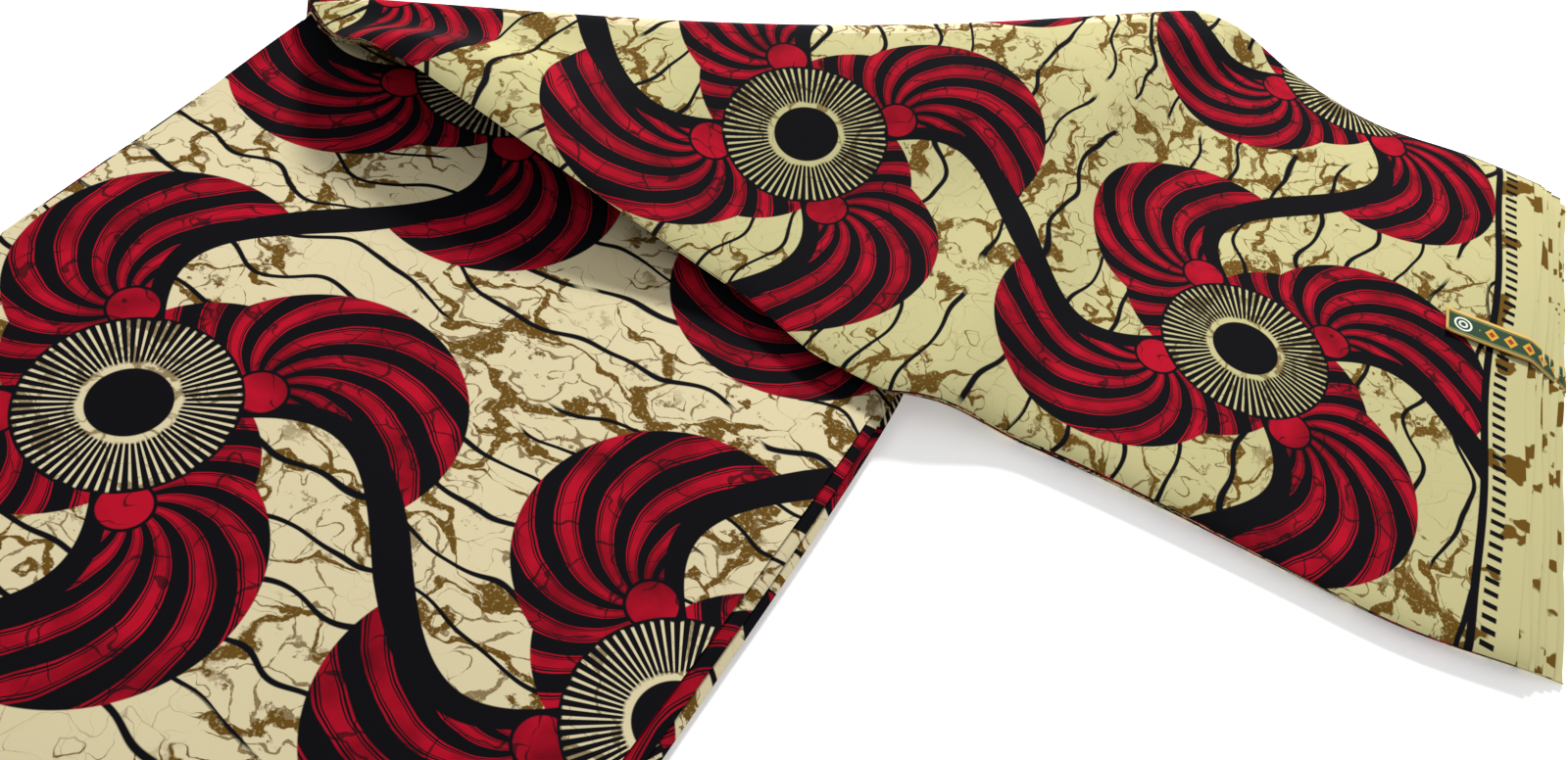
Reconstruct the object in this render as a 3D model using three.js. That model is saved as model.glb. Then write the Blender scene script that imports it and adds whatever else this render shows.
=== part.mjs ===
// Folded length of printed cotton with its paper label band.
// One long cloth is laid in zig-zag leaves to a flat strip. The strip lies on the table as the
// lower arm, turns over once on a soft diagonal fold, and comes back as the upper arm.
// Millimetres, +Z up. X runs along the upper arm to its selvedges, Y runs across the upper arm
// and along the lower arm. Set out from the inner corner where the two arms cross.
import * as THREE from 'three';

// ---- driving dimensions ----
const STRIP_WIDTH = 392; // one leaf across: 5.49 m of cloth in 14 leaves
const LOWER_LENGTH = 510; // lower arm, from its end to the inner corner
const UPPER_LENGTH = 321; // upper arm, from the inner corner to the top leaf's front corner
const END_SKEW = 40; // how far the back corner of the selvedge end lies behind the front one
const LEAF_COUNT = 14;
const LEAF_THICKNESS = 0.5;
const LEAF_PITCH = 0.85; // leaf and the loose air over it
const END_STEP = 1.9; // each leaf reaches this much further than the one above it
const POCKET_RADIUS = 12; // hollow of the fold at its fattest place
const PINCH_RADIUS = 0.6; // hollow of the fold at its two pressed ends
const FOLD_SET_BACK = 24; // fold line on the lower arm's left edge, above the inner corner
const FOLD_LEAN = 39.8; // fold line against the upper arm, degrees
const FOLD_BOW = 53; // how far the middle of the fold is drawn in from the straight line between its ends
const FOLD_SLIDE = 10; // sideways slip of the left edge as it goes round the fold
const SLOPE_LENGTH = 130; // ramp from the top of the fold down to the flat upper arm
const DROP_LENGTH = 60; // ramp from the lower arm's edge down to the table
const BAND_WIDTH = 20;
const BAND_THICKNESS = 0.4;
const BAND_TOP = 64; // length of band that lies on the top leaf
const BAND_UNDER = 30; // length of band tucked under the lowest leaf
const BAND_CENTRE = 216; // band's place across the upper arm
const JOIN_GAP = 0.3; // between pieces that meet
const SWEEP_CLEARANCE = 4; // the upper leaves start this far outside the fold
const TAIL_GAP = 2.5; // between a leaf's tail over the fold and the rest of the same leaf

// ---- sizes worked out from them ----
const STACK = LEAF_COUNT * LEAF_PITCH;
const REST_GAP = BAND_THICKNESS + JOIN_GAP - (LEAF_PITCH - LEAF_THICKNESS);
const HINGE_HEIGHT = STACK + POCKET_RADIUS;
const HINGE_SET_BACK = FOLD_BOW / 2;
const LEAN = THREE.MathUtils.degToRad(FOLD_LEAN);
const ALONG = new THREE.Vector2(Math.cos(LEAN), Math.sin(LEAN));
const OUTWARD = new THREE.Vector2(-Math.sin(LEAN), Math.cos(LEAN));
const FOLD_START = new THREE.Vector2(-STRIP_WIDTH, FOLD_SET_BACK);
const UPPER_FOLD_END = (STRIP_WIDTH - FOLD_SET_BACK) / ALONG.y;
const FOLD_LENGTH = Math.max(STRIP_WIDTH / ALONG.x, UPPER_FOLD_END);
const SKEW_ANGLE = Math.atan2(END_SKEW, STRIP_WIDTH);

// ---- grid counts of the soft sheets ----
const FOLD_STATIONS = 10;
const TURN_STEPS = 7;
const RAMP_COLUMNS = 5;
const DROP_COLUMNS = 3;
const FLAT_COLUMNS = 2;

const clamp01 = (value) => Math.min(1, Math.max(0, value));
const lerp = (a, b, t) => a + (b - a) * t;
const easeDown = (t) => 0.5 * (1 + Math.cos(Math.PI * clamp01(t)));

// Distance along the fold line and distance out from it, for a place on the table plan.
function foldPlace(x, y) {
  const dx = x - FOLD_START.x;
  const dy = y - FOLD_START.y;
  return { along: dx * ALONG.x + dy * ALONG.y, out: dx * OUTWARD.x + dy * OUTWARD.y };
}

function foldPoint(along, out) {
  return {
    x: FOLD_START.x + ALONG.x * along + OUTWARD.x * out,
    y: FOLD_START.y + ALONG.y * along + OUTWARD.y * out,
  };
}

// The fold is pulled tight in its middle, so its ridge bows in from the straight line.
function foldBow(along) {
  return FOLD_BOW * Math.sin(Math.PI * clamp01(along / FOLD_LENGTH));
}

// Place on the fold line where the lower arm's right edge runs into it.
function lowerFoldEnd() {
  let end = STRIP_WIDTH / ALONG.x;
  for (let step = 0; step < 20; step += 1) end = (STRIP_WIDTH - ALONG.y * foldBow(end)) / ALONG.x;
  return end;
}

// The hollow of the fold is pressed shut at both ends and fat in the middle.
function pocketRadius(along) {
  const share = clamp01(along / FOLD_LENGTH);
  return lerp(PINCH_RADIUS, POCKET_RADIUS, Math.sin(Math.PI * share) ** 0.8);
}

// Closed solid from two grids of points, the second one lying on the outer side of the first.
function gridSolid(inner, outer) {
  const rows = inner.length;
  const columns = inner[0].length;
  const positions = [...inner.flat(), ...outer.flat()].flatMap((p) => [p.x, p.y, p.z]);
  const at = (side, i, j) => side * rows * columns + i * columns + j;
  const faces = [];
  const quad = (a, b, c, d) => faces.push(a, b, c, a, c, d);
  for (let i = 0; i < rows - 1; i += 1) {
    for (let j = 0; j < columns - 1; j += 1) {
      quad(at(0, i, j), at(0, i + 1, j), at(0, i + 1, j + 1), at(0, i, j + 1));
      quad(at(1, i, j), at(1, i, j + 1), at(1, i + 1, j + 1), at(1, i + 1, j));
    }
  }
  const rim = [];
  for (let j = 0; j < columns - 1; j += 1) rim.push([0, j]);
  for (let i = 0; i < rows - 1; i += 1) rim.push([i, columns - 1]);
  for (let j = columns - 1; j > 0; j -= 1) rim.push([rows - 1, j]);
  for (let i = rows - 1; i > 0; i -= 1) rim.push([i, 0]);
  rim.forEach(([i, j], n) => {
    const [k, l] = rim[(n + 1) % rim.length];
    quad(at(0, i, j), at(0, k, l), at(1, k, l), at(1, i, j));
  });
  const geometry = new THREE.BufferGeometry();
  geometry.setAttribute('position', new THREE.Float32BufferAttribute(positions, 3));
  geometry.setIndex(faces);
  geometry.computeVertexNormals();
  return geometry;
}

function cloth(name, geometry) {
  const material = new THREE.MeshStandardMaterial({ color: 0xc9bd8c, roughness: 0.85, metalness: 0 });
  const mesh = new THREE.Mesh(geometry, material);
  mesh.name = name;
  return mesh;
}

const numbered = (word, k) => `${word}_${String(k).padStart(2, '0')}`;

// ---- lower arm: flat leaves, leaf 1 on top ----
function lowerLeaf(k) {
  const outline = new THREE.Shape();
  outline.moveTo(-STRIP_WIDTH, -LOWER_LENGTH);
  outline.lineTo(0, -LOWER_LENGTH);
  for (let i = FOLD_STATIONS; i >= 0; i -= 1) {
    const s = (lowerFoldEnd() * i) / FOLD_STATIONS;
    const place = foldPoint(s, -foldBow(s) - JOIN_GAP);
    outline.lineTo(place.x, place.y);
  }
  const geometry = new THREE.ExtrudeGeometry(outline, { depth: LEAF_THICKNESS, bevelEnabled: false });
  const mesh = cloth(numbered('lower_leaf', k), geometry);
  mesh.position.z = (LEAF_COUNT - k) * LEAF_PITCH;
  return mesh;
}

// ---- diagonal fold: each leaf goes half round and ends on a short tail over the top ----
function turnPoint(s, angle, radius) {
  const place = foldPoint(s, radius * Math.sin(angle) - foldBow(s));
  return new THREE.Vector3(place.x, place.y, STACK + pocketRadius(s) - radius * Math.cos(angle));
}

// Nothing in the fold at this place lies further than this from the hinge's axis.
function sweepRadius(along) {
  const hollow = pocketRadius(along);
  const away = Math.hypot(HINGE_SET_BACK - foldBow(along), HINGE_HEIGHT - STACK - hollow);
  return away + STACK + hollow + SWEEP_CLEARANCE;
}

// Share of the way across the upper arm at a station of the ridge. Tails and upper leaves both use it.
function rowShare(station) {
  if (station === 0 || station === FOLD_STATIONS) return station / FOLD_STATIONS;
  const s = lerp(FOLD_SLIDE, UPPER_FOLD_END, station / FOLD_STATIONS);
  const ridge = foldPoint(s, -foldBow(s));
  const front = frontEdge(ridge.x);
  return (ridge.y - front) / (STRIP_WIDTH - front);
}

// The tail runs along the upper arm from the ridge, and stops inside the sweep of the upper leaves.
function tailPoint(station, k, shift) {
  const row = rowShare(station);
  const x = leafStart(row, k, -TAIL_GAP);
  const y = lerp(frontEdge(x), STRIP_WIDTH, row);
  return new THREE.Vector3(x, y, underside(x, y, UPPER_LENGTH) + k * LEAF_PITCH - shift);
}

function foldTurn(k) {
  const grid = (shift) => {
    const rows = [];
    for (let i = 0; i <= FOLD_STATIONS; i += 1) {
      const row = [];
      for (let j = 0; j <= TURN_STEPS; j += 1) {
        const round = j / TURN_STEPS;
        const left = FOLD_SLIDE * round;
        const right = lerp(lowerFoldEnd(), UPPER_FOLD_END, round);
        const s = lerp(left, right, i / FOLD_STATIONS);
        row.push(turnPoint(s, Math.PI * round, pocketRadius(s) + k * LEAF_PITCH - shift));
      }
      row.push(tailPoint(i, k, shift));
      rows.push(row);
    }
    return rows;
  };
  return cloth(numbered('fold_turn', k), gridSolid(grid(LEAF_THICKNESS), grid(0)));
}

// ---- upper arm: leaves that come down from the fold, leaf 14 on top ----
function frontEdge(x) {
  const share = clamp01(-x / (STRIP_WIDTH - FOLD_SLIDE * ALONG.x));
  return share * (FOLD_SET_BACK + FOLD_SLIDE * ALONG.y);
}

function underside(x, y, dropStart) {
  const { along, out } = foldPlace(x, y);
  const inward = -(out + foldBow(along));
  const ramp = 2 * pocketRadius(along) * easeDown(inward / SLOPE_LENGTH);
  const lifted = STACK + REST_GAP * clamp01(inward / SLOPE_LENGTH);
  const onTable = lerp(REST_GAP, lifted, easeDown((x - dropStart) / DROP_LENGTH));
  return onTable + ramp;
}

// First place along the upper arm that lies clear of the fold, or inside it by a negative margin.
function leafStart(row, k, margin) {
  let low = -STRIP_WIDTH;
  let high = UPPER_LENGTH * 0.6;
  const outside = (x) => {
    const y = lerp(frontEdge(x), STRIP_WIDTH, row);
    const { along, out } = foldPlace(x, y);
    const height = underside(x, y, UPPER_LENGTH) + k * LEAF_PITCH - HINGE_HEIGHT;
    return out < -foldBow(along) && Math.hypot(out + HINGE_SET_BACK, height) > sweepRadius(along) + margin;
  };
  for (let step = 0; step < 40; step += 1) {
    const middle = (low + high) / 2;
    if (outside(middle)) high = middle;
    else low = middle;
  }
  return high;
}

function columnPlaces(start, end) {
  const dropStart = Math.max(JOIN_GAP * 4, start + DROP_LENGTH / 5);
  const places = [];
  for (let j = 0; j < RAMP_COLUMNS; j += 1) places.push(lerp(start, dropStart, j / RAMP_COLUMNS));
  for (let j = 0; j < DROP_COLUMNS; j += 1) places.push(dropStart + (DROP_LENGTH * j) / DROP_COLUMNS);
  for (let j = 0; j <= FLAT_COLUMNS; j += 1) places.push(lerp(dropStart + DROP_LENGTH, end, j / FLAT_COLUMNS));
  return { places, dropStart };
}

function upperLeaf(k) {
  const grid = (thickness) => {
    const rows = [];
    for (let i = 0; i <= FOLD_STATIONS; i += 1) {
      const across = rowShare(i);
      const end = UPPER_LENGTH - END_SKEW * across + (LEAF_COUNT - k) * END_STEP;
      const { places, dropStart } = columnPlaces(leafStart(across, k, 0), end);
      rows.push(places.map((x) => {
        const y = lerp(frontEdge(x), STRIP_WIDTH, across);
        const z = underside(x, y, dropStart) + k * LEAF_PITCH - LEAF_THICKNESS + thickness;
        return new THREE.Vector3(x, y, z);
      }));
    }
    return rows;
  };
  return cloth(numbered('upper_leaf', k), gridSolid(grid(0), grid(LEAF_THICKNESS)));
}

// ---- paper band: over the top leaf, down the stepped selvedges and under the lowest leaf ----
function labelBand() {
  const top = REST_GAP + STACK + JOIN_GAP;
  const reach = (LEAF_COUNT - 1) * END_STEP + 2 * JOIN_GAP + LEAF_THICKNESS;
  const fall = top - LEAF_PITCH;
  const slant = new THREE.Vector2(fall, reach).normalize().multiplyScalar(BAND_THICKNESS);
  const outline = new THREE.Shape();
  outline.moveTo(-BAND_TOP, top);
  outline.lineTo(2 * JOIN_GAP, top);
  outline.lineTo(reach + JOIN_GAP, LEAF_PITCH + JOIN_GAP);
  outline.lineTo(reach + JOIN_GAP, BAND_THICKNESS);
  outline.lineTo(-BAND_UNDER, BAND_THICKNESS);
  outline.lineTo(-BAND_UNDER, 0);
  outline.lineTo(reach + JOIN_GAP + BAND_THICKNESS, 0);
  outline.lineTo(reach + JOIN_GAP + BAND_THICKNESS, LEAF_PITCH + JOIN_GAP + slant.y / 2);
  outline.lineTo(2 * JOIN_GAP + slant.x / 2, top + BAND_THICKNESS);
  outline.lineTo(-BAND_TOP, top + BAND_THICKNESS);
  const geometry = new THREE.ExtrudeGeometry(outline, { depth: BAND_WIDTH, bevelEnabled: false });
  geometry.translate(0, 0, -BAND_WIDTH / 2);
  geometry.rotateX(Math.PI / 2);
  const material = new THREE.MeshStandardMaterial({ color: 0x2f4a34, roughness: 0.5, metalness: 0 });
  const mesh = new THREE.Mesh(geometry, material);
  mesh.name = 'label_band';
  mesh.rotation.z = SKEW_ANGLE;
  const edge = UPPER_LENGTH - (END_SKEW * BAND_CENTRE) / STRIP_WIDTH;
  mesh.position.set(edge, BAND_CENTRE, 0);
  return mesh;
}

const bolt = new THREE.Group();
for (let k = 1; k <= LEAF_COUNT; k += 1) {
  bolt.add(lowerLeaf(k), foldTurn(k), upperLeaf(k));
}
bolt.add(labelBand());

// The origin is the middle of the whole piece's footprint, on the table.
const box = new THREE.Box3().setFromObject(bolt, true);
bolt.position.set(-(box.min.x + box.max.x) / 2, -(box.min.y + box.max.y) / 2, -box.min.z);

export default bolt;
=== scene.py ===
# %% [markdown]
# # Folded length of printed cotton
# One long printed cloth is laid in zig-zag leaves to a flat strip. The strip lies on a table as the
# lower arm, turns over once on a soft diagonal fold, and comes back across itself as the upper arm.
# Every leaf is made as the thin sheet that it is, from one plan of where the cloth goes. The packed
# frame gives the place, and the looks are built on it without moving it.

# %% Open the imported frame
import bpy
import math
import numpy as np
from mathutils import Matrix, Vector


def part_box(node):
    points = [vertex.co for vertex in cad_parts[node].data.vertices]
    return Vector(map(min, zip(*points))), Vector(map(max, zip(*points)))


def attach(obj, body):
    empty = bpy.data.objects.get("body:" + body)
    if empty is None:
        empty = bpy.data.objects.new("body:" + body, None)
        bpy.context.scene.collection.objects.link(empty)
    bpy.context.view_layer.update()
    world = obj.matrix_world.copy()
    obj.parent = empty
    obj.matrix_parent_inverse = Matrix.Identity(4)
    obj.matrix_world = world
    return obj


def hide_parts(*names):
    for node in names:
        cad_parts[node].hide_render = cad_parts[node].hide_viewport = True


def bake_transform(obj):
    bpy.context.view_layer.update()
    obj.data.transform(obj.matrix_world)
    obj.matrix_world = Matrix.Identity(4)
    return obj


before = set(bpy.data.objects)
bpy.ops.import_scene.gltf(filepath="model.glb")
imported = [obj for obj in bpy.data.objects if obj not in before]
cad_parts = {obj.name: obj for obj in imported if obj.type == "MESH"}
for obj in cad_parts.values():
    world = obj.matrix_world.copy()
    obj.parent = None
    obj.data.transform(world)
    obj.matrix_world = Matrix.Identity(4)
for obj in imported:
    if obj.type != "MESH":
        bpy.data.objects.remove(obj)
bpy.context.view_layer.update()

# %% [markdown]
# ## Sizes
# Metres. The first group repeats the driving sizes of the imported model, so that each sheet lies in
# the space that its solid holds. Plan coordinates start at the inner corner where the two arms
# cross: x runs along the upper arm to its selvedges and y runs across it.

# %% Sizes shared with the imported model
STRIP_WIDTH = 0.392
LOWER_LENGTH = 0.510
UPPER_LENGTH = 0.321
END_SKEW = 0.040
LEAF_COUNT = 14
LEAF_PITCH = 0.00085
END_STEP = 0.0019
POCKET_RADIUS = 0.012
PINCH_RADIUS = 0.0006
FOLD_SET_BACK = 0.024
FOLD_LEAN = math.radians(39.8)
FOLD_BOW = 0.053
FOLD_SLIDE = 0.010
SLOPE_LENGTH = 0.130
DROP_LENGTH = 0.060
REST_GAP = 0.00035
BAND_WIDTH = 0.020
BAND_UNDER = 0.030
BAND_CENTRE = 0.216

STACK = LEAF_COUNT * LEAF_PITCH
ALONG = np.array([math.cos(FOLD_LEAN), math.sin(FOLD_LEAN)])
OUTWARD = np.array([-math.sin(FOLD_LEAN), math.cos(FOLD_LEAN)])
FOLD_START = np.array([-STRIP_WIDTH, FOLD_SET_BACK])
FOLD_LENGTH = max(STRIP_WIDTH / ALONG[0], (STRIP_WIDTH - FOLD_SET_BACK) / ALONG[1])

CLOTH_WIDTH = 1.17
EYE_RADIUS = 0.04743
CORNER = np.array([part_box("lower_leaf_01")[1].x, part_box("lower_leaf_01")[0].y + LOWER_LENGTH])
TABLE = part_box("lower_leaf_14")[0].z
print("inner corner at", CORNER.round(4), "table at", round(TABLE, 4))

# %% [markdown]
# ## The viewpoint
# The camera stands a little over half a metre up, in front of the upper arm, tipped to one side.
# The whole plan is seen from there at a moderately wide angle. Depth of field stays off.

# %% Camera
CAMERA_PLACE = (0.0689, -0.4568, 0.5139 + STACK)
CAMERA_PITCH = math.radians(50.22)
CAMERA_ROLL = math.radians(15.74)
CAMERA_YAW = math.radians(15.5)


def add_camera():
    data = bpy.data.cameras.new("main_camera")
    camera = bpy.data.objects.new("main_camera", data)
    bpy.context.scene.collection.objects.link(camera)
    forward = Vector((0, math.cos(CAMERA_PITCH), -math.sin(CAMERA_PITCH)))
    upward = Vector((0, math.sin(CAMERA_PITCH), math.cos(CAMERA_PITCH)))
    level = Vector((1, 0, 0))
    right = math.cos(CAMERA_ROLL) * level + math.sin(CAMERA_ROLL) * upward
    top = math.cos(CAMERA_ROLL) * upward - math.sin(CAMERA_ROLL) * level
    turn = Matrix((right, top, -forward)).transposed().to_4x4()
    place = Matrix.Translation((CORNER[0] + CAMERA_PLACE[0], CORNER[1] + CAMERA_PLACE[1], CAMERA_PLACE[2]))
    camera.matrix_world = place @ Matrix.Rotation(CAMERA_YAW, 4, "Z") @ turn
    data.sensor_width = 36
    data.lens = 31.43
    data.clip_start = 0.01
    bpy.context.scene.camera = camera
    return camera


camera = add_camera()
print("camera at", tuple(round(v, 3) for v in camera.matrix_world.translation))

# %% [markdown]
# ## Where the fold runs
# A strip folded over at about forty degrees comes back across itself. The fold is pressed shut at
# its two ends and fat in the middle, and it is pulled tight there, so its ridge bows inwards. All
# the leaves share these curves, one outside the other, which keeps them from cutting each other.

# %% Fold curves


MOUTH_HEIGHT = 0.030


def smooth(t):
    t = np.clip(t, 0, 1)
    return t * t * (3 - 2 * t)


def ease_down(t):
    return 0.5 * (1 + np.cos(np.pi * np.clip(t, 0, 1)))


def mix(a, b, t):
    return a + (b - a) * t


def fold_bow(s):
    return FOLD_BOW * np.sin(np.pi * np.clip(s / FOLD_LENGTH, 0, 1))


def pocket(s):
    share = np.clip(s / FOLD_LENGTH, 0, 1)
    return mix(PINCH_RADIUS, POCKET_RADIUS, np.sin(np.pi * share) ** 0.8)


def fold_point(s, out):
    x = FOLD_START[0] + ALONG[0] * s + OUTWARD[0] * out
    y = FOLD_START[1] + ALONG[1] * s + OUTWARD[1] * out
    return x, y


def fold_place(x, y):
    dx, dy = x - FOLD_START[0], y - FOLD_START[1]
    return dx * ALONG[0] + dy * ALONG[1], dx * OUTWARD[0] + dy * OUTWARD[1]


def front_edge(x):
    """The upper arm's front edge swings forward where it rises over the lower arm."""
    t = np.clip((-x / STRIP_WIDTH - 0.1) / 0.9, 0, 1)
    over = -0.028 + 0.040 * t + 0.018 * t**10 - 0.6 * mouth_lift(x)
    over = over + 0.008 * smooth((-0.03 - x) / 0.06) * smooth((x + 0.36) / 0.08)
    rounded_corner = 0.017 * smooth((x - 0.23) / 0.13) ** 1.5
    return np.where(x < 0, over, rounded_corner - 0.028 * np.exp(-np.maximum(x, 0) / 0.045))


def mouth_lift(x):
    """The front edge stands off the lower arm beside the fold, like the mouth of a flat pocket."""
    return MOUTH_HEIGHT * smooth((x + 0.395) / 0.09) * smooth((-0.06 - x) / 0.20)


def back_edge(x):
    """The back edge lies a little crooked, as cloth does when nobody has squared it up."""
    return STRIP_WIDTH - 0.014 * np.exp(-(((x - 0.175) / 0.05) ** 2))


def ridge_rows():
    """Places on the ridge, with the row of the upper arm and of the lower arm that each one meets."""
    s = np.linspace(0, FOLD_LENGTH * 1.02, 600)
    x, y = fold_point(s, -fold_bow(s))
    upper = (y - front_edge(x)) / (back_edge(x) - front_edge(x))
    return s, x, upper


RIDGE_S, RIDGE_X, RIDGE_ROW = ridge_rows()


def ridge_from_lower(x):
    return np.interp(x, RIDGE_X, RIDGE_S)


def ridge_from_upper(row):
    return np.maximum(np.interp(row, RIDGE_ROW, RIDGE_S), FOLD_SLIDE * 0.5)


print("ridge runs", round(FOLD_LENGTH, 3), "m, drawn in by", FOLD_BOW)

# %% [markdown]
# ## How the leaves lie
# The cloth goes to and fro fourteen times. Leaves 1 and 2, 3 and 4 and so on are one cloth round
# the left edge, and 2 and 3, 4 and 5 and so on round the right edge. Hand folding never gets these
# turns exactly over each other, so each pair has its own small overhang, drawn from a fixed seed.

# %% Overhang of the folded edges
RNG = np.random.default_rng(14)
PAIR_WANDER = RNG.uniform(-1, 1, LEAF_COUNT + 2)
END_WANDER = RNG.uniform(-1, 1, LEAF_COUNT + 1)


def right_overhang(k, y):
    """How far leaf k of the lower arm reaches past the straight line of its right edge."""
    pair = (k // 2) if k > 1 else 0
    base = [0, 0.0075, 0.0125, 0.009, 0.011, 0.007, 0.010, 0.008][pair]
    growth = 0.6 + 0.7 * np.clip(-y / LOWER_LENGTH, 0, 1)
    drift = -0.013 * smooth((-0.03 - y) / 0.33)
    return drift + base * growth * np.clip((0.06 - y) / 0.08, 0.15, 1)


def left_overhang(k, y):
    pair = (k + 1) // 2
    return 0.0012 * PAIR_WANDER[pair] + 0.0008 * np.sin(9 * y + pair)


def side_bulge(k):
    """A pressed stack's edge is rounded: the middle leaves reach furthest."""
    return 0.0030 * math.sin(math.pi * (k - 0.5) / LEAF_COUNT)


def front_set_back(k, x):
    """The top leaf comes furthest forward, so it hides the leaves below it, most of all over the mouth."""
    per_leaf = mix(0.00040, 0.00095, smooth((0.02 - x) / 0.06))
    return (LEAF_COUNT - k) * per_leaf


def end_reach(k):
    """The cut ends step out below each other. Two or three leaves at a time lie nearly flush."""
    down = LEAF_COUNT - k
    group = math.ceil(down / 2.6)
    last_group = math.ceil((LEAF_COUNT - 1) / 2.6)
    return END_STEP * (LEAF_COUNT - 1) * group / last_group + 0.0004 * END_WANDER[k]


def swell(x, y):
    """Slow, shallow waves that the whole stack shares."""
    wave = np.sin(11 * x + 5 * y + 0.6) * np.sin(7 * y - 4 * x + 1.9)
    return 0.0016 * wave + 0.0008 * np.sin(23 * x - 17 * y) + 0.0005 * np.sin(41 * y + 13 * x)


print("right overhangs in mm:", [round(1000 * float(right_overhang(k, -0.3)), 1) for k in (1, 2, 4, 6)])

# %% [markdown]
# ## The print's own coordinates
# The print belongs to the cloth, so each point carries where it lies on the unfolded cloth. A leaf
# is unrolled into the plan of the arm in which it is seen: across the fold, the way round the curl
# is added to the way in. Leaves with their face down are mirrored, since the face is outside then.

# %% Unrolling
LOWER_EYE = np.array([-0.2777, -0.2256])
UPPER_EYE = np.array([0.1515, 0.1224])
EYE_PITCH = 0.2780


def print_from_lower(k, x, y):
    phase = LOWER_EYE + EYE_PITCH * np.array([0.31, 0.27]) * (k - 1)
    face = 1 if k % 2 else -1
    return np.stack([face * (x - phase[0]), y - phase[1]], -1)


def print_from_upper(k, x, y):
    phase = UPPER_EYE + EYE_PITCH * np.array([0.23, 0.37]) * (LEAF_COUNT - k)
    face = 1 if k % 2 == 0 else -1
    pulled = smooth((0.05 - x) / 0.20)
    return np.stack([-face * (y + 0.028 * pulled - phase[1]), x - 0.018 * pulled - phase[0]], -1)


def seen_in_lower(k):
    return k <= LEAF_COUNT // 2


print("eye pitch is", round(EYE_PITCH / EYE_RADIUS, 3), "eye radii")

# %% [markdown]
# ## Making a sheet
# A sheet is a grid of points. It becomes a smooth mesh with its print coordinates as a UV map and
# the way to the nearest selvedge as an attribute, so the material can follow the cloth.

# %% Sheet builder


def build_sheet(name, face_up, points, cloth_uv, selvedge):
    rows, columns = points.shape[:2]
    place = points.reshape(-1, 3) + np.array([CORNER[0], CORNER[1], TABLE])
    index = np.arange(rows * columns).reshape(rows, columns)
    corners = [index[:-1, :-1], index[:-1, 1:], index[1:, 1:], index[1:, :-1]]
    faces = np.stack(corners, -1).reshape(-1, 4)
    faces = faces if face_up else faces[:, ::-1]
    mesh = bpy.data.meshes.new(name)
    mesh.from_pydata(place.tolist(), [], faces.tolist())
    layer = mesh.uv_layers.new(name="print")
    corner_points = np.empty(len(mesh.loops), int)
    mesh.loops.foreach_get("vertex_index", corner_points)
    layer.data.foreach_set("uv", cloth_uv.reshape(-1, 2)[corner_points].astype(np.float32).ravel())
    edge = mesh.attributes.new("selvedge", "FLOAT", "POINT")
    edge.data.foreach_set("value", selvedge.ravel().astype(np.float32))
    mesh.polygons.foreach_set("use_smooth", np.ones(len(mesh.polygons), bool))
    mesh.update()
    sheet = bpy.data.objects.new(name, mesh)
    bpy.context.scene.collection.objects.link(sheet)
    return sheet


def sheet_area(sheet):
    return sum(face.area for face in sheet.data.polygons)


def spread(count):
    """Shares from 0 to 1, closer together at both ends."""
    t = np.linspace(0, 1, count)
    return mix(t, 0.5 - 0.5 * np.cos(np.pi * t), 0.5)


def sheet_normals(points):
    run = np.gradient(points, axis=0)
    across = np.gradient(points, axis=1)
    normal = np.cross(across, run)
    return normal / np.maximum(np.linalg.norm(normal, axis=2, keepdims=True), 1e-12)


def edge_turn(k):
    """The edge that turns into leaf k + 1: 1 for the left or front one, -1 for the right or back one."""
    if k == LEAF_COUNT:
        return 0
    return 1 if k % 2 else -1


def add_folded_edge(k, points, cloth_uv, selvedge):
    """Adds the half-round into the next leaf along one long edge. Columns run across the strip."""
    side = edge_turn(k)
    if side == 0:
        return points, cloth_uv, selvedge
    at, next_to = (0, 1) if side > 0 else (-1, -2)
    edge = points[:, at]
    across = edge - points[:, next_to]
    across /= np.maximum(np.linalg.norm(across, axis=1, keepdims=True), 1e-12)
    towards_next = -sheet_normals(points)[:, at]
    radius = LEAF_PITCH / 2
    turns = np.linspace(0, np.pi, 7)[1:]
    ring = [edge + radius * (across * np.sin(t) + towards_next * (1 - np.cos(t))) for t in turns]
    ring_uv = [cloth_uv[:, at] + (cloth_uv[:, at] - cloth_uv[:, next_to]) * t * 0.05 for t in turns]
    ring_edge = [selvedge[:, at]] * len(turns)
    extras = [np.stack(v, 1) for v in (ring, ring_uv, ring_edge)]
    grids = (points, cloth_uv, selvedge)
    if side > 0:
        return tuple(np.concatenate([e[:, ::-1], g], 1) for e, g in zip(extras, grids))
    return tuple(np.concatenate([g, e], 1) for e, g in zip(extras, grids))


TOP_GRID = (110, 190)
INNER_GRID = (30, 60)

# %% [markdown]
# ## Lower arm
# Each piece is one leaf from its free end, along the table and up round the curl to the ridge. Its
# long edge turns down, or up, into the next leaf. Near the edges the stack is pressed thinner.

# %% Lower arm sheets
CURL_STEPS = 22


def lower_height(k, x, y):
    rise = (LEAF_COUNT - k + 0.5) * LEAF_PITCH
    to_edge = np.minimum(x + STRIP_WIDTH + 0.004, 0.012 - x)
    pressed = 1 - 0.22 * np.exp(-np.clip(to_edge, 0, 1) / 0.010)
    waves = np.clip(1.0 + swell(x, y) / STACK, 0.75, 1.25)
    overhang_droop = 1 - 0.38 * smooth((x - right_overhang(1, y)) / 0.014)
    free_edge = 0.0007 * np.exp(np.minimum(x - right_overhang(1, y), 0) / 0.006) if k == 1 else 0
    return rise * pressed * overhang_droop * mix(waves, 1, smooth((y + 0.02) / 0.1)) + free_edge


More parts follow.
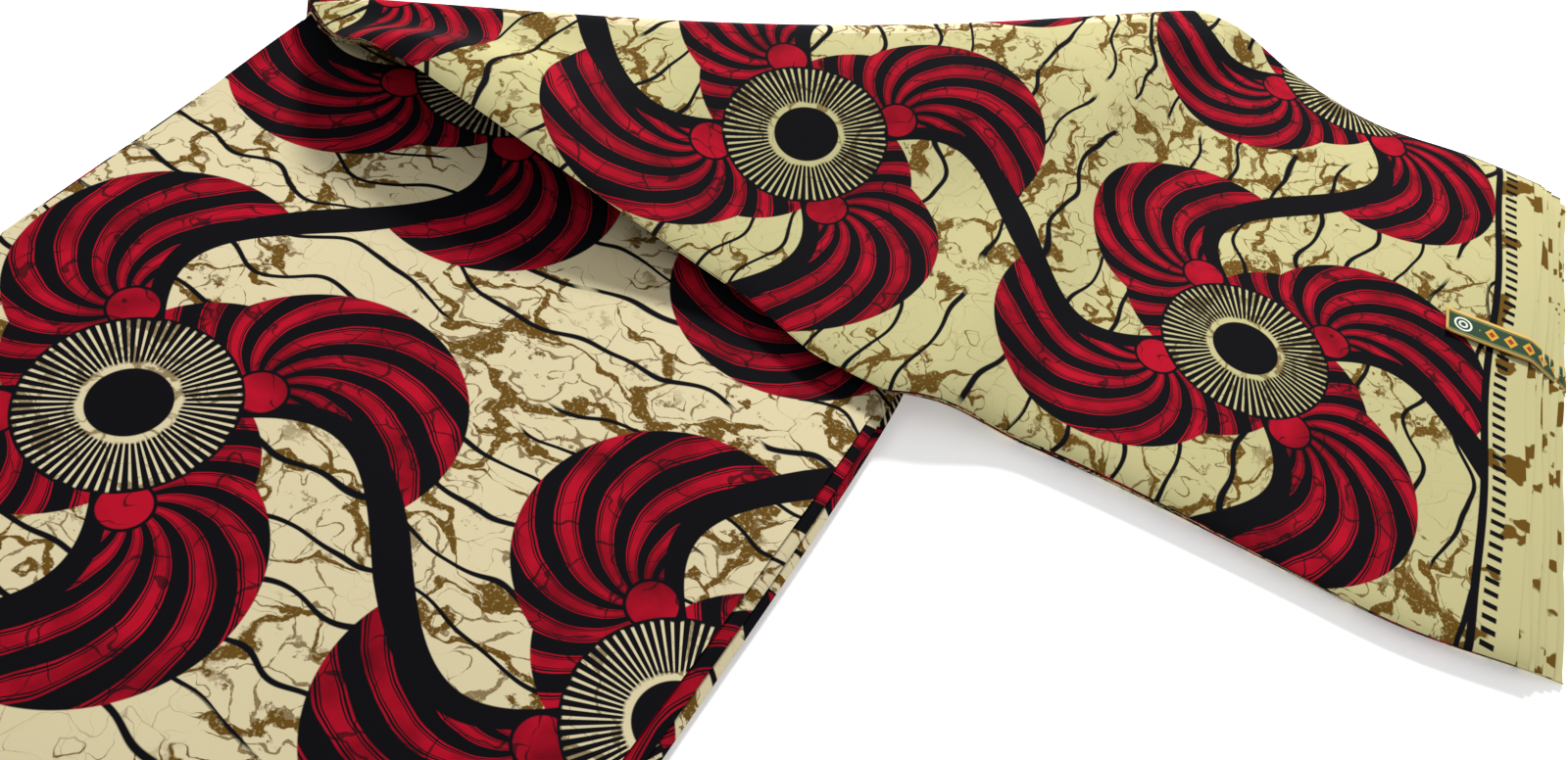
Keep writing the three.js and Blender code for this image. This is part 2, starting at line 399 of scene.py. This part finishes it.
def lower_leaf(k, grid):
    columns, rows = grid
    share = spread(columns)
    along = np.linspace(0, 1, rows)
    flat = np.empty((rows, columns, 3))
    x_start = -STRIP_WIDTH + share * STRIP_WIDTH
    s = ridge_from_lower(x_start)
    ridge_y = fold_point(s, -fold_bow(s))[1]
    y = mix(-LOWER_LENGTH, ridge_y, along[:, None])
    left = -STRIP_WIDTH - left_overhang(k, y) - side_bulge(k)
    right = right_overhang(k, y) + 0 * y
    near_fold = smooth(1 - (ridge_y - y) / 0.12)
    x = mix(mix(left, right, share), x_start, near_fold)
    z_flat = lower_height(k, x, y)
    z_fold = (LEAF_COUNT - k + 0.5) * LEAF_PITCH
    flat[..., 0] = x
    flat[..., 1] = y
    flat[..., 2] = mix(z_flat, z_fold, near_fold)
    curl = np.empty((CURL_STEPS, columns, 3))
    s_top = ridge_from_upper(share)
    turn = np.linspace(0, np.pi, CURL_STEPS + 1)[1:, None]
    s_turn = mix(s, s_top, turn / np.pi)
    radius = pocket(s_turn) + (k - 0.5) * LEAF_PITCH
    out = radius * np.sin(turn) - fold_bow(s_turn)
    curl[..., 0], curl[..., 1] = fold_point(s_turn, out)
    curl[..., 2] = STACK + pocket(s_turn) - radius * np.cos(turn)
    if seen_in_lower(k):
        flat_uv = print_from_lower(k, x, y)
        curl_uv = print_from_lower(k, *fold_point(s_turn, radius * turn - fold_bow(s_turn)))
    else:
        way_in = -(fold_place(x, y)[1] + fold_bow(s))
        round_all = np.pi * (pocket(s) + (k - 0.5) * LEAF_PITCH)
        flat_uv = print_from_upper(k, *fold_point(fold_place(x, y)[0], round_all + way_in - fold_bow(s)))
        curl_uv = print_from_upper(k, *fold_point(s_turn, radius * (np.pi - turn) - fold_bow(s_turn)))
    points = np.concatenate([flat, curl])
    cloth_uv = np.concatenate([flat_uv, curl_uv])
    selvedge = np.concatenate([y + LOWER_LENGTH, np.full((CURL_STEPS, columns), 0.4)])
    return add_folded_edge(k, points, cloth_uv, selvedge)


lower_sheets = {}
for k in range(1, LEAF_COUNT + 1):
    grid = TOP_GRID if k in (1, 2, 3, LEAF_COUNT) else INNER_GRID
    lower_sheets[k] = build_sheet(f"lower_cloth_{k:02d}", k % 2 == 1, *lower_leaf(k, grid))
print("lower sheets:", len(lower_sheets), "of", round(sheet_area(lower_sheets[1]), 3), "m2 each")

# %% [markdown]
# ## Upper arm
# These sheets start on the ridge, come down the ramp over the hollow fold, lie across the lower arm
# and drop over its edge to the table. They end at the stepped selvedges. The leaf's rows run from
# the front edge to the back edge, and both edges droop softly.

# %% Upper arm sheets


def upper_height(k, x, y, row, drop_start):
    s, out = fold_place(x, y)
    inward = -(out + fold_bow(s))
    ramp = 2 * pocket(s) * ease_down(inward / SLOPE_LENGTH)
    lifted = STACK + REST_GAP * np.clip(inward / SLOPE_LENGTH, 0, 1)
    on_table = mix(REST_GAP, lifted, ease_down((x - drop_start) / DROP_LENGTH))
    far = smooth(inward / 0.06)
    to_edge = np.minimum(row, 1 - row) * STRIP_WIDTH
    pressed = 1 - 0.30 * np.exp(-to_edge / 0.008) * far
    waves = mix(1, np.clip(1 + swell(x, y) / STACK, 0.75, 1.25), far)
    from_front = np.maximum(y - front_edge(x), 0)
    mouth = mouth_lift(x) * np.exp(-((from_front / 0.07) ** 2)) * far
    return on_table + ramp + mouth + (k - 0.5) * LEAF_PITCH * pressed * waves


def across_arm(x, row):
    return mix(front_edge(x), back_edge(x), row)


def upper_leaf(k, grid):
    rows, columns = grid
    row = spread(rows)[:, None]
    s = ridge_from_upper(row)
    x_start, ridge_y = fold_point(s, -fold_bow(s))
    x_end = UPPER_LENGTH - END_SKEW * row + end_reach(k)
    x_end = x_end + 0.0012 * np.sin(14 * row + 2.1 * k)
    share = np.linspace(0, 1, columns)[None, :]
    x = mix(x_start, x_end, share)
    front = front_edge(x) + front_set_back(k, x) * smooth((x + STRIP_WIDTH) / 0.03)
    back = back_edge(x) + side_bulge(k)
    y = mix(front, back, row)
    near = smooth(1 - (x - x_start) / 0.06)
    drift = across_arm(x, row) - across_arm(x_start, row)
    y = mix(y, ridge_y + drift, near)
    drop_start = np.maximum(0.014, x_start + 0.012)
    z = upper_height(k, x, y, row, drop_start)
    points = np.stack([x, y, z], -1)
    if seen_in_lower(k):
        s_here, out_here = fold_place(x, y)
        way_in = -(out_here + fold_bow(s_here))
        round_all = np.pi * (pocket(s_here) + (k - 0.5) * LEAF_PITCH)
        cloth_uv = print_from_lower(k, *fold_point(s_here, round_all + way_in - fold_bow(s_here)))
    else:
        cloth_uv = print_from_upper(k, x, y)
    selvedge = x_end - x
    return add_folded_edge(k, points.swapaxes(0, 1), cloth_uv.swapaxes(0, 1), selvedge.swapaxes(0, 1))


upper_sheets = {}
for k in range(1, LEAF_COUNT + 1):
    grid = TOP_GRID if k in (1, LEAF_COUNT, LEAF_COUNT - 1) else INNER_GRID
    upper_sheets[k] = build_sheet(f"upper_cloth_{k:02d}", k % 2 == 1, *upper_leaf(k, grid))
print("upper sheets:", len(upper_sheets), "of", round(sheet_area(upper_sheets[14]), 3), "m2 each")

# %% [markdown]
# ## The paper band
# A narrow paper band holds the selvedges together. It lies on the top leaf, runs down over the
# stepped ends and tucks under the lowest leaf. It is one strip bent along a drawn profile, with the
# paper's thickness given by a modifier. Its ornament is plain and stands for no maker.

# %% Paper band
BAND_START = np.array([0.248, 0.2205])
BAND_TURN = math.radians(8)
PAPER = 0.00025


def band_profile():
    """Places along the band and their heights, from the top end to the tucked end."""
    lean = math.sin(BAND_TURN) * END_SKEW / STRIP_WIDTH
    leaf_end = UPPER_LENGTH - END_SKEW * BAND_CENTRE / STRIP_WIDTH
    top_edge = (leaf_end - BAND_START[0]) / (math.cos(BAND_TURN) + lean)
    top = REST_GAP + STACK + 0.0004
    reach = end_reach(1) + 0.0012
    run = [0, top_edge * 0.5, top_edge - 0.002, top_edge + 0.001, top_edge + reach * 0.35]
    height = [top + 0.0003, top, top, top - 0.0006, top * 0.66]
    run += [top_edge + reach * 0.75, top_edge + reach + 0.0008, top_edge + reach + 0.0012, top_edge + reach]
    height += [top * 0.30, 0.0014, 0.0006, 0.00012]
    run += [top_edge + reach - BAND_UNDER]
    height += [0.00012]
    return np.array(run), np.array(height)


def paper_band():
    run, height = band_profile()
    steps = np.hypot(np.diff(run), np.diff(height))
    way = np.concatenate([[0], np.cumsum(steps)])
    fine = np.linspace(0, way[-1], 120)
    run, height = np.interp(fine, way, run), np.interp(fine, way, height)
    across = np.linspace(-0.5, 0.5, 9) * BAND_WIDTH
    along_way = np.array([math.cos(BAND_TURN), math.sin(BAND_TURN)])
    side_way = np.array([-math.sin(BAND_TURN), math.cos(BAND_TURN)])
    x = BAND_START[0] + along_way[0] * run[:, None] + side_way[0] * across
    y = BAND_START[1] + along_way[1] * run[:, None] + side_way[1] * across
    curl_up = 0.0008 * np.clip(1 - fine / 0.006, 0, 1) ** 2
    z = np.repeat((height + curl_up)[:, None], 9, 1)
    points = np.stack([x, y, z], -1)
    label_uv = np.stack(np.broadcast_arrays(fine[:, None], across), -1)
    return points, label_uv, np.zeros((120, 9))


band = build_sheet("paper_band", False, *paper_band())
thick = band.modifiers.new("paper", "SOLIDIFY")
thick.thickness = PAPER
thick.offset = 1
print("band is", round(float(sheet_area(band) / BAND_WIDTH), 3), "m long")

# %% [markdown]
# ## Node building
# The print is drawn by arithmetic, so it stays sharp at any distance. These helpers write one Math
# node per step. A mask goes from 0 to 1 within a hair's width, which keeps its edge clean.

# %% Node helpers


def linear(red, green, blue):
    """A colour as paint shops give it, 0 to 255, turned into light."""
    parts = [v / 255 for v in (red, green, blue)]
    parts = [v / 12.92 if v <= 0.04045 else ((v + 0.055) / 1.055) ** 2.4 for v in parts]
    return (*parts, 1.0)


class Recipe:
    """A shader node group under construction."""

    def __init__(self, name, inputs, outputs):
        self.tree = bpy.data.node_groups.new(name, "ShaderNodeTree")
        for label, kind in inputs:
            self.tree.interface.new_socket(label, in_out="INPUT", socket_type=kind)
        for label, kind in outputs:
            self.tree.interface.new_socket(label, in_out="OUTPUT", socket_type=kind)
        self.source = self.tree.nodes.new("NodeGroupInput")
        self.target = self.tree.nodes.new("NodeGroupOutput")

    def given(self, label):
        return self.source.outputs[label]

    def give(self, label, value):
        self.tree.links.new(value, self.target.inputs[label])

    def connect(self, value, socket):
        if isinstance(value, bpy.types.NodeSocket):
            self.tree.links.new(value, socket)
        else:
            socket.default_value = value

    def math(self, operation, *values, clamp=False):
        node = self.tree.nodes.new("ShaderNodeMath")
        node.operation = operation
        node.use_clamp = clamp
        for socket, value in zip(node.inputs, values):
            self.connect(value, socket)
        return node.outputs[0]

    def add(self, a, b):
        return self.math("ADD", a, b)

    def sub(self, a, b):
        return self.math("SUBTRACT", a, b)

    def mul(self, a, b):
        return self.math("MULTIPLY", a, b)

    def both(self, a, b):
        return self.math("MULTIPLY", a, b, clamp=True)

    def either(self, a, b):
        return self.math("MAXIMUM", a, b)

    def no(self, a):
        return self.math("SUBTRACT", 1.0, a, clamp=True)

    def length(self, x, y):
        return self.math("SQRT", self.math("MULTIPLY_ADD", x, x, self.mul(y, y)))

    def below(self, value, limit, edge=0.012):
        """1 where value is under limit."""
        gap = self.sub(limit, value)
        return self.math("MULTIPLY_ADD", gap, 1 / edge, 0.5, clamp=True)

    def above(self, value, limit, edge=0.012):
        gap = self.sub(value, limit)
        return self.math("MULTIPLY_ADD", gap, 1 / edge, 0.5, clamp=True)

    def near(self, value, centre, half, edge=0.012):
        return self.below(self.math("ABSOLUTE", self.sub(value, centre)), half, edge)

    def vector(self, x, y, z=0.0):
        node = self.tree.nodes.new("ShaderNodeCombineXYZ")
        for socket, value in zip(node.inputs, (x, y, z)):
            self.connect(value, socket)
        return node.outputs[0]

    def parts(self, value):
        node = self.tree.nodes.new("ShaderNodeSeparateXYZ")
        self.tree.links.new(value, node.inputs[0])
        return node.outputs[0], node.outputs[1]

    def noise(self, x, y, scale=1.0, detail=2.0, roughness=0.5):
        node = self.tree.nodes.new("ShaderNodeTexNoise")
        node.noise_dimensions = "2D"
        self.tree.links.new(self.vector(x, y), node.inputs["Vector"])
        node.inputs["Scale"].default_value = scale
        node.inputs["Detail"].default_value = detail
        node.inputs["Roughness"].default_value = roughness
        return node.outputs["Fac"]

    def cells(self, x, y):
        """How far it is to the nearest crack of a net of cracks."""
        node = self.tree.nodes.new("ShaderNodeTexVoronoi")
        node.voronoi_dimensions = "2D"
        node.feature = "DISTANCE_TO_EDGE"
        node.inputs["Scale"].default_value = 1.0
        self.tree.links.new(self.vector(x, y), node.inputs["Vector"])
        return node.outputs["Distance"]

    def blend(self, share, under, over):
        node = self.tree.nodes.new("ShaderNodeMix")
        node.data_type = "RGBA"
        self.connect(share, node.inputs["Factor"])
        self.connect(under, node.inputs[6])
        self.connect(over, node.inputs[7])
        return node.outputs[2]

    def use(self, group, **values):
        node = self.tree.nodes.new("ShaderNodeGroup")
        node.node_tree = group.tree
        for label, value in values.items():
            self.connect(value, node.inputs[label])
        return node.outputs


FLOAT = "NodeSocketFloat"
COLOUR = "NodeSocketColor"
print("node helpers ready")

# %% [markdown]
# ## One arm of the pinwheel
# Lengths are in eye radii, about the eye's centre. An arm has a round shell of curved stripes that
# fan out from a small red neck, and a black band that swings across to the next eye. The other
# three arms are the same group turned by a quarter.

# %% Pinwheel arm
PITCH = EYE_PITCH / EYE_RADIUS
NECK = (0.85, 0.75)
STRIPES_ROUND = 14
BAND_SWING = 1.227


def pinwheel_arm():
    names = ("Shell", "Stripe", "Band", "Neck")
    r = Recipe("pinwheel_arm", [("X", FLOAT), ("Y", FLOAT)], [(n, FLOAT) for n in names])
    x, y = r.given("X"), r.given("Y")
    shell = r.below(r.length(r.sub(x, 1.36), r.sub(y, 0.90)), 1.42)
    tail = r.below(r.length(r.sub(x, 0.50), r.sub(y, 0.45)), 1.13)
    band_line = r.mul(r.math("SINE", r.mul(r.sub(PITCH / 2, x), BAND_SWING)), 0.86)
    from_band = r.sub(y, band_line)
    steep = r.math("COSINE", r.mul(r.sub(PITCH / 2, x), BAND_SWING))
    slant = r.math("SQRT", r.math("MULTIPLY_ADD", r.mul(steep, steep), 1.10, 1.0))
    wide = r.math("MULTIPLY_ADD", x, 0.050, 0.035)
    band = r.below(r.sub(r.math("ABSOLUTE", from_band), r.mul(wide, slant)), 0.0)
    band = r.both(band, r.above(x, 0.6))
    upper_side = r.above(from_band, 0.0)
    right_of_neck = r.above(x, 0.75)
    whole = r.both(r.either(shell, tail), r.no(r.both(right_of_neck, r.no(upper_side))))
    whole = r.both(whole, r.above(y, 0.0))
    away_x, away_y = r.sub(x, NECK[0]), r.sub(y, NECK[1])
    reach = r.length(away_x, away_y)
    turned = r.math("ARCTAN2", away_x, r.mul(away_y, -1.0))
    wobble = r.mul(r.sub(r.noise(x, y, 1.3), 0.5), 0.12)
    spiral = r.add(r.math("MULTIPLY_ADD", reach, 0.82, turned), wobble)
    stripes = r.math("PINGPONG", r.mul(spiral, STRIPES_ROUND / (2 * math.pi)), 0.5)
    black = r.below(stripes, 0.225, 0.02)
    thin = r.either(r.near(stripes, 0.292, 0.021, 0.010), r.near(stripes, 0.355, 0.013, 0.010))
    r.give("Shell", whole)
    outline = r.near(reach, 0.250, 0.020)
    r.give("Stripe", r.either(r.either(black, outline), thin))
    r.give("Band", band)
    r.give("Neck", r.below(reach, 0.235))
    return r


ARM = pinwheel_arm()
print("pinwheel arm:", len(ARM.tree.nodes), "nodes")

# %% [markdown]
# ## The eye
# A black disc in a cream ring, with cream rays on black round it and a thin black rim.

# %% Eye
RAYS = 66


def eye_group():
    r = Recipe("eye", [("X", FLOAT), ("Y", FLOAT)], [("Eye", FLOAT), ("Cream", FLOAT)])
    x, y = r.given("X"), r.given("Y")
    radius = r.length(x, y)
    angle = r.math("ARCTAN2", y, x)
    ray = r.math("PINGPONG", r.mul(angle, RAYS / (2 * math.pi)), 0.5)
    ragged = r.mul(r.sub(r.noise(x, y, 9.0), 0.5), 0.06)
    outer = r.add(radius, ragged)
    rays = r.both(r.above(ray, 0.335, 0.08), r.both(r.above(outer, 0.44), r.below(outer, 0.965, 0.02)))
    ring = r.both(r.above(radius, 0.385), r.below(outer, 0.46, 0.03))
    r.give("Eye", r.below(radius, 1.0))
    r.give("Cream", r.either(rays, ring))
    return r


EYE = eye_group()
print("eye:", RAYS, "rays")

# %% [markdown]
# ## The cracked ground
# Wax cracks while the cloth is dyed, and colour runs into the cracks. The ground has olive-brown
# veins and bursts that follow the cloth's length, and thin black lines that wander across it. The
# red parts have finer, darker cracks.

# %% Ground


def ground_group():
    names = ("Veins", "Lines", "Cracks", "Cloud")
    r = Recipe("cracked_ground", [("X", FLOAT), ("Y", FLOAT)], [(n, FLOAT) for n in names])
    x, y = r.given("X"), r.given("Y")
    cover = r.noise(r.mul(x, 1.3), y, 0.62, 2.0)
    heavy = r.math("MULTIPLY_ADD", r.sub(cover, 0.37), 4.5, 0.0, clamp=True)
    bend_x = r.math("MULTIPLY_ADD", r.sub(r.noise(x, y, 1.5, 2.5, 0.5), 0.5), 1.0, x)
    bend_y = r.math("MULTIPLY_ADD", r.sub(r.noise(y, x, 1.6, 2.5, 0.5), 0.5), 1.0, y)
    wide_net = r.cells(r.mul(bend_x, 0.75), r.mul(bend_y, 1.65))
    fine_net = r.cells(r.mul(bend_x, 2.3), r.mul(bend_y, 3.1))
    ragged = r.noise(r.mul(x, 0.6), y, 4.5, 5.0, 0.7)
    width = r.mul(heavy, r.math("MULTIPLY_ADD", ragged, 0.34, -0.085))
    veins = r.below(wide_net, width, 0.02)
    hair = r.below(fine_net, r.mul(heavy, r.math("MULTIPLY_ADD", ragged, 0.30, -0.11)), 0.016)
    bursts = r.both(r.above(r.noise(r.mul(x, 0.8), y, 2.2, 6.0, 0.75), 0.615, 0.03), heavy)
    grain = r.above(r.noise(x, y, 26.0, 2.0), 0.36, 0.10)
    solid = r.math("MULTIPLY_ADD", grain, 0.35, 0.65)
    all_veins = r.both(r.either(r.either(veins, r.both(hair, 0.8)), bursts), solid)
    drift = r.mul(r.sub(r.noise(r.mul(x, 0.75), r.mul(y, 0.6), 1.0, 1.0), 0.5), 1.5)
    wave = r.mul(r.math("SINE", r.add(r.mul(x, 1.9), r.mul(y, 0.8))), 0.10)
    row = r.math("FRACT", r.add(r.add(r.mul(y, 1.75), drift), wave))
    gate = r.above(r.noise(r.mul(x, 0.55), r.add(y, 17.0), 1.0, 1.0), 0.37, 0.03)
    lines = r.both(r.near(row, 0.5, 0.046, 0.02), gate)
    dark_net = r.cells(r.add(r.mul(bend_x, 1.9), 7.0), r.mul(bend_y, 2.0))
    broken = r.math("MULTIPLY_ADD", r.noise(x, y, 3.0, 2.0), 0.13, -0.045)
    cracks = r.below(dark_net, broken, 0.012)
    r.give("Veins", all_veins)
    r.give("Lines", lines)
    r.give("Cracks", cracks)
    r.give("Cloud", r.noise(x, y, 1.7, 3.0))
    return r


GROUND = ground_group()
print("ground:", len(GROUND.tree.nodes), "nodes")

# %% [markdown]
# ## The whole print
# The repeats are square, so every place is folded back to the nearest eye first. The layers are
# then put on in the order a printer would see them: ground, red, black, and the eye last. Near a
# selvedge the print gives way to a black line, a row of plain register bars and bare cream cloth.

# %% Print
CREAM = linear(208, 196, 158)
BROWN = linear(100, 72, 22)
BLACK = linear(13, 13, 17)
RED = linear(172, 14, 38)
DEEP_RED = linear(104, 6, 20)
BARE_EDGE = 0.0205


def print_group():
    inputs = [("U", FLOAT), ("V", FLOAT), ("Selvedge", FLOAT), ("Cream", COLOUR)]
    r = Recipe("wax_print", inputs, [("Color", COLOUR)])
    x = r.mul(r.given("U"), 1 / EYE_RADIUS)
    y = r.mul(r.given("V"), 1 / EYE_RADIUS)
    half = PITCH / 2
    cell_x = r.math("WRAP", x, half, -half)
    cell_y = r.math("WRAP", y, half, -half)
    ground = r.use(GROUND, X=x, Y=y)
    colour = r.blend(ground["Veins"], r.given("Cream"), BROWN)
    colour = r.blend(ground["Lines"], colour, BLACK)
    back_x, back_y = r.mul(cell_x, -1.0), r.mul(cell_y, -1.0)
    quarters = [(cell_x, cell_y), (cell_y, back_x), (back_x, back_y), (back_y, cell_x)]
    arms = [r.use(ARM, X=a, Y=b) for a, b in quarters]
    red = r.blend(r.math("MULTIPLY_ADD", ground["Cloud"], 2.2, -0.75, clamp=True), RED, DEEP_RED)
    red = r.blend(r.both(ground["Cracks"], 0.75), red, BLACK)
    for arm in arms:
        colour = r.blend(arm["Shell"], colour, r.blend(arm["Stripe"], red, BLACK))
    for arm in arms:
        colour = r.blend(arm["Band"], colour, BLACK)
    for arm in arms:
        colour = r.blend(arm["Neck"], colour, red)
    eye = r.use(EYE, X=cell_x, Y=cell_y)
    pale = r.blend(r.both(ground["Veins"], 0.75), r.given("Cream"), BROWN)
    colour = r.blend(eye["Eye"], colour, r.blend(eye["Cream"], BLACK, pale))
    edge = r.given("Selvedge")
    margin = r.below(edge, BARE_EDGE, 0.0004)
    spots = r.above(r.noise(x, y, 1.6, 3.0), 0.60, 0.02)
    bare = r.blend(spots, r.given("Cream"), BROWN)
    beat = r.math("FRACT", r.mul(x, 6.2))
    bars = r.both(r.below(beat, 0.42, 0.06), r.near(edge, 0.0145, 0.0036, 0.0006))
    bare = r.blend(bars, bare, BLACK)
    colour = r.blend(margin, colour, bare)
    rule = r.near(edge, BARE_EDGE + 0.0020, 0.0022, 0.0005)
    colour = r.blend(rule, colour, BLACK)
    r.give("Color", colour)
    return r


PRINT = print_group()
print("print:", len(PRINT.tree.nodes), "nodes")

# %% [markdown]
# ## Cloth and paper
# The cotton is a plain weave, nearly matt. Its threads give a fine grain that shows close up. The
# paper is smooth and a little shinier. The upper arm's cotton is the same cloth with a darker, greener
# cream, which is painted shade.

# %% Materials


class Surface(Recipe):
    """A material's own tree, with the same helpers."""

    def __init__(self, name):
        self.material = bpy.data.materials.new(name)
        self.material.use_nodes = True
        self.tree = self.material.node_tree
        self.shader = self.tree.nodes["Principled BSDF"]

    def uv(self):
        node = self.tree.nodes.new("ShaderNodeUVMap")
        node.uv_map = "print"
        return self.parts(node.outputs[0])

    def attribute(self, name):
        node = self.tree.nodes.new("ShaderNodeAttribute")
        node.attribute_name = name
        return node.outputs["Fac"]

    def bump(self, height, strength, distance):
        node = self.tree.nodes.new("ShaderNodeBump")
        node.inputs["Strength"].default_value = strength
        node.inputs["Distance"].default_value = distance
        self.tree.links.new(height, node.inputs["Height"])
        self.tree.links.new(node.outputs[0], self.shader.inputs["Normal"])


THREAD = 0.0006


def weave_height(surface, u, v):
    over = surface.math("SINE", surface.mul(u, 2 * math.pi / THREAD))
    under = surface.math("SINE", surface.mul(v, 2 * math.pi / THREAD))
    slub = surface.noise(surface.mul(u, 900), surface.mul(v, 60), 1.0, 1.0)
    return surface.add(surface.mul(over, under), slub)


def cotton(name, cream):
    surface = Surface(name)
    u, v = surface.uv()
    printed = surface.use(PRINT, U=u, V=v, Selvedge=surface.attribute("selvedge"), Cream=cream)
    surface.connect(printed["Color"], surface.shader.inputs["Base Color"])
    surface.shader.inputs["Roughness"].default_value = 0.85
    surface.shader.inputs["Specular IOR Level"].default_value = 0.04
    surface.bump(weave_height(surface, u, v), 0.12, 0.0001)
    return surface.material


LOZENGE_PITCH = 0.011
EDGE = 0.0002


def label_paper():
    surface = Surface("label_paper")
    way, side = surface.uv()
    off_centre = surface.math("ABSOLUTE", side)
    inside = surface.below(off_centre, 0.0078, EDGE)
    field = surface.both(inside, surface.above(way, 0.0018, EDGE))
    rule = surface.near(off_centre, 0.0068, 0.0002, 0.0001)
    beat = surface.sub(surface.math("FRACT", surface.mul(way, 1 / LOZENGE_PITCH)), 0.5)
    from_middle = surface.math("ABSOLUTE", surface.mul(beat, LOZENGE_PITCH))
    lozenge_size = surface.add(from_middle, surface.mul(off_centre, 0.8))
    past_ring = surface.above(way, 0.020, EDGE)
    lozenges = surface.both(surface.below(lozenge_size, 0.0042, EDGE), past_ring)
    hearts = surface.both(surface.below(lozenge_size, 0.0020, EDGE), past_ring)
    ring = surface.length(surface.sub(way, 0.0105), side)
    outer_ring = surface.near(ring, 0.0048, 0.0006, EDGE)
    inner_ring = surface.near(ring, 0.0022, 0.0006, EDGE)
    rosette = surface.either(outer_ring, inner_ring)
    colour = surface.blend(field, linear(196, 160, 84), linear(38, 66, 44))
    colour = surface.blend(rule, colour, linear(150, 150, 90))
    colour = surface.blend(lozenges, colour, linear(205, 150, 45))
    colour = surface.blend(hearts, colour, linear(140, 60, 30))
    colour = surface.blend(rosette, colour, linear(220, 224, 214))
    surface.connect(colour, surface.shader.inputs["Base Color"])
    surface.shader.inputs["Roughness"].default_value = 0.65
    surface.shader.inputs["Specular IOR Level"].default_value = 0.15
    return surface.material


LOWER_COTTON = cotton("printed_cotton_lower", CREAM)
# The upper arm's sheets get the same print on a darker, greener cream: this darker cream is painted shade.
SHADED_UPPER_COTTON = cotton("printed_cotton_upper_painted_shade", linear(186, 179, 130))
PAPER_FINISH = label_paper()
for sheet in lower_sheets.values():
    sheet.data.materials.append(LOWER_COTTON)
for sheet in upper_sheets.values():
    sheet.data.materials.append(SHADED_UPPER_COTTON)
band.data.materials.append(PAPER_FINISH)
print("materials:", [m.name for m in bpy.data.materials][:6])

# %% [markdown]
# ## What moves with what
# The lower sheets, curl and all, stay with the lower arm, and the paper band goes with the upper arm.
# The upper sheets start on the ridge and are left in place, attached to neither arm. Each sheet's flat
# length and area are read off the sheet as drawn, so they can't show a stretch.

for k, sheet in lower_sheets.items():
    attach(sheet, "lower_arm")
    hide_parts(f"lower_leaf_{k:02d}", f"fold_turn_{k:02d}")
for k, sheet in upper_sheets.items():
    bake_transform(sheet)
    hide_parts(f"upper_leaf_{k:02d}")
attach(band, "upper_arm")
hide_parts("label_band")


total = sum(sheet_area(s) for s in [*lower_sheets.values(), *upper_sheets.values()])
print("cloth in all:", round(total, 2), "m2, or", round(total / CLOTH_WIDTH, 2), "m of it")

# %% [markdown]
# ## Floor and light
# A pale floor that glows a little, a soft main light high up behind the cloth, a weaker and wider
# one in front on the left, and a pale sky. The shadows stay soft and the folds keep their shape.

# %% Floor and lights


def add_floor():
    bpy.ops.mesh.primitive_plane_add(size=12, location=(0, 0, TABLE - 0.0004))
    floor = bpy.context.object
    floor.name = "floor"
    surface = Surface("floor_finish")
    surface.shader.inputs["Base Color"].default_value = (1.0, 1.0, 1.0, 1)
    surface.shader.inputs["Roughness"].default_value = 0.9
    surface.shader.inputs["Emission Color"].default_value = (1.0, 1.0, 1.0, 1)
    surface.shader.inputs["Emission Strength"].default_value = 0.30
    floor.data.materials.append(surface.material)
    return floor


def add_light(name, place, target, size, power):
    data = bpy.data.lights.new(name, "AREA")
    data.shape = "DISK"
    data.size = size
    data.energy = power
    lamp = bpy.data.objects.new(name, data)
    bpy.context.scene.collection.objects.link(lamp)
    lamp.location = place
    lamp.rotation_euler = (Vector(target) - Vector(place)).to_track_quat("-Z", "Y").to_euler()
    return lamp


def add_sky():
    world = bpy.data.worlds.new("pale_sky")
    world.use_nodes = True
    world.node_tree.nodes["Background"].inputs["Color"].default_value = (1.0, 1.0, 1.0, 1)
    world.node_tree.nodes["Background"].inputs["Strength"].default_value = 0.45
    bpy.context.scene.world = world
    bpy.context.scene.view_settings.view_transform = "Standard"


floor = add_floor()
add_light("key_light", (-0.30, 1.45, 1.05), (-0.15, 0, 0), 0.35, 40)
add_light("fill_light", (-1.3, -0.7, 1.5), (-0.2, -0.1, 0), 1.2, 5)
add_sky()
print("floor and lights are in")
